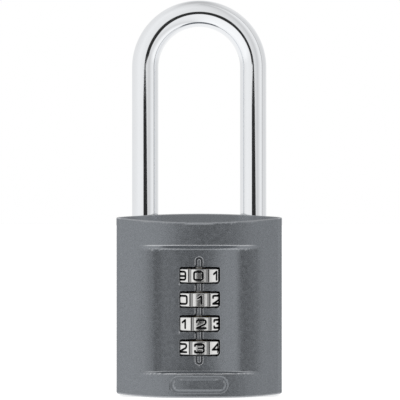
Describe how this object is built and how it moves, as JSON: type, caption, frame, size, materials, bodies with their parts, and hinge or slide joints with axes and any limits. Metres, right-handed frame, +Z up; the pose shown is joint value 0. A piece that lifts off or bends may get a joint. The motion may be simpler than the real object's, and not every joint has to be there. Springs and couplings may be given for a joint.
{
  "type": "combination padlock",
  "caption": "Combination padlock with a long chromed shackle, a grey lacquered die-cast body and number dials in a recessed front panel.",
  "frame": {"origin": "bottom centre of the body, where the lock stands on its flat underside", "axes": "+Z up, from the body to the shackle; -Y towards the front with the dials; +X to the right seen from the front, towards the long shackle leg"},
  "size_m": [0.05, 0.0212, 0.12],
  "materials": {
    "lacquered_zinc": "satin grey metallic lacquer",
    "chromed_steel": "polished chrome plating",
    "dial_metal": "bright nickel plating with black engraved digits",
    "sleeve_brass": "plain machined brass",
    "bare_steel": "plain steel",
    "spring_steel": "blued spring steel strip"
  },
  "bodies": {
    "body": {"housing": "lacquered_zinc", "rear_cover": "lacquered_zinc", "cover_rivet_1": "bare_steel", "cover_rivet_2": "bare_steel", "cover_rivet_3": "bare_steel", "cover_rivet_4": "bare_steel", "detent_spring": "spring_steel", "spring_rivet_1": "bare_steel", "spring_rivet_2": "bare_steel"},
    "shackle_set": {"shackle": "chromed_steel", "yoke": "bare_steel", "locking_spindle": "bare_steel", "spindle_clip": "spring_steel"},
    "dial_set_1": {"dial_1": "dial_metal", "code_sleeve_1": "sleeve_brass"},
    "dial_set_2": {"dial_2": "dial_metal", "code_sleeve_2": "sleeve_brass"},
    "dial_set_3": {"dial_3": "dial_metal", "code_sleeve_3": "sleeve_brass"},
    "dial_set_4": {"dial_4": "dial_metal", "code_sleeve_4": "sleeve_brass"}
  },
  "joints": [
    {"name": "shackle_lift", "type": "slide", "parent": "body", "child": "shackle_set", "axis": [0, 0, 1], "range_m": [0, 0.00724]},
    {"name": "dial_1_turn", "type": "hinge", "parent": "body", "child": "dial_set_1", "pos_m": [0, -0.00135, 0.03657], "axis": [0, 0, 1], "continuous": true, "deforming": ["detent_spring"]},
    {"name": "dial_2_turn", "type": "hinge", "parent": "body", "child": "dial_set_2", "pos_m": [0, -0.00135, 0.02933], "axis": [0, 0, 1], "continuous": true, "deforming": ["detent_spring"]},
    {"name": "dial_3_turn", "type": "hinge", "parent": "body", "child": "dial_set_3", "pos_m": [0, -0.00135, 0.02209], "axis": [0, 0, 1], "continuous": true, "deforming": ["detent_spring"]},
    {"name": "dial_4_turn", "type": "hinge", "parent": "body", "child": "dial_set_4", "pos_m": [0, -0.00135, 0.01485], "axis": [0, 0, 1], "continuous": true, "deforming": ["detent_spring"]}
  ]
}
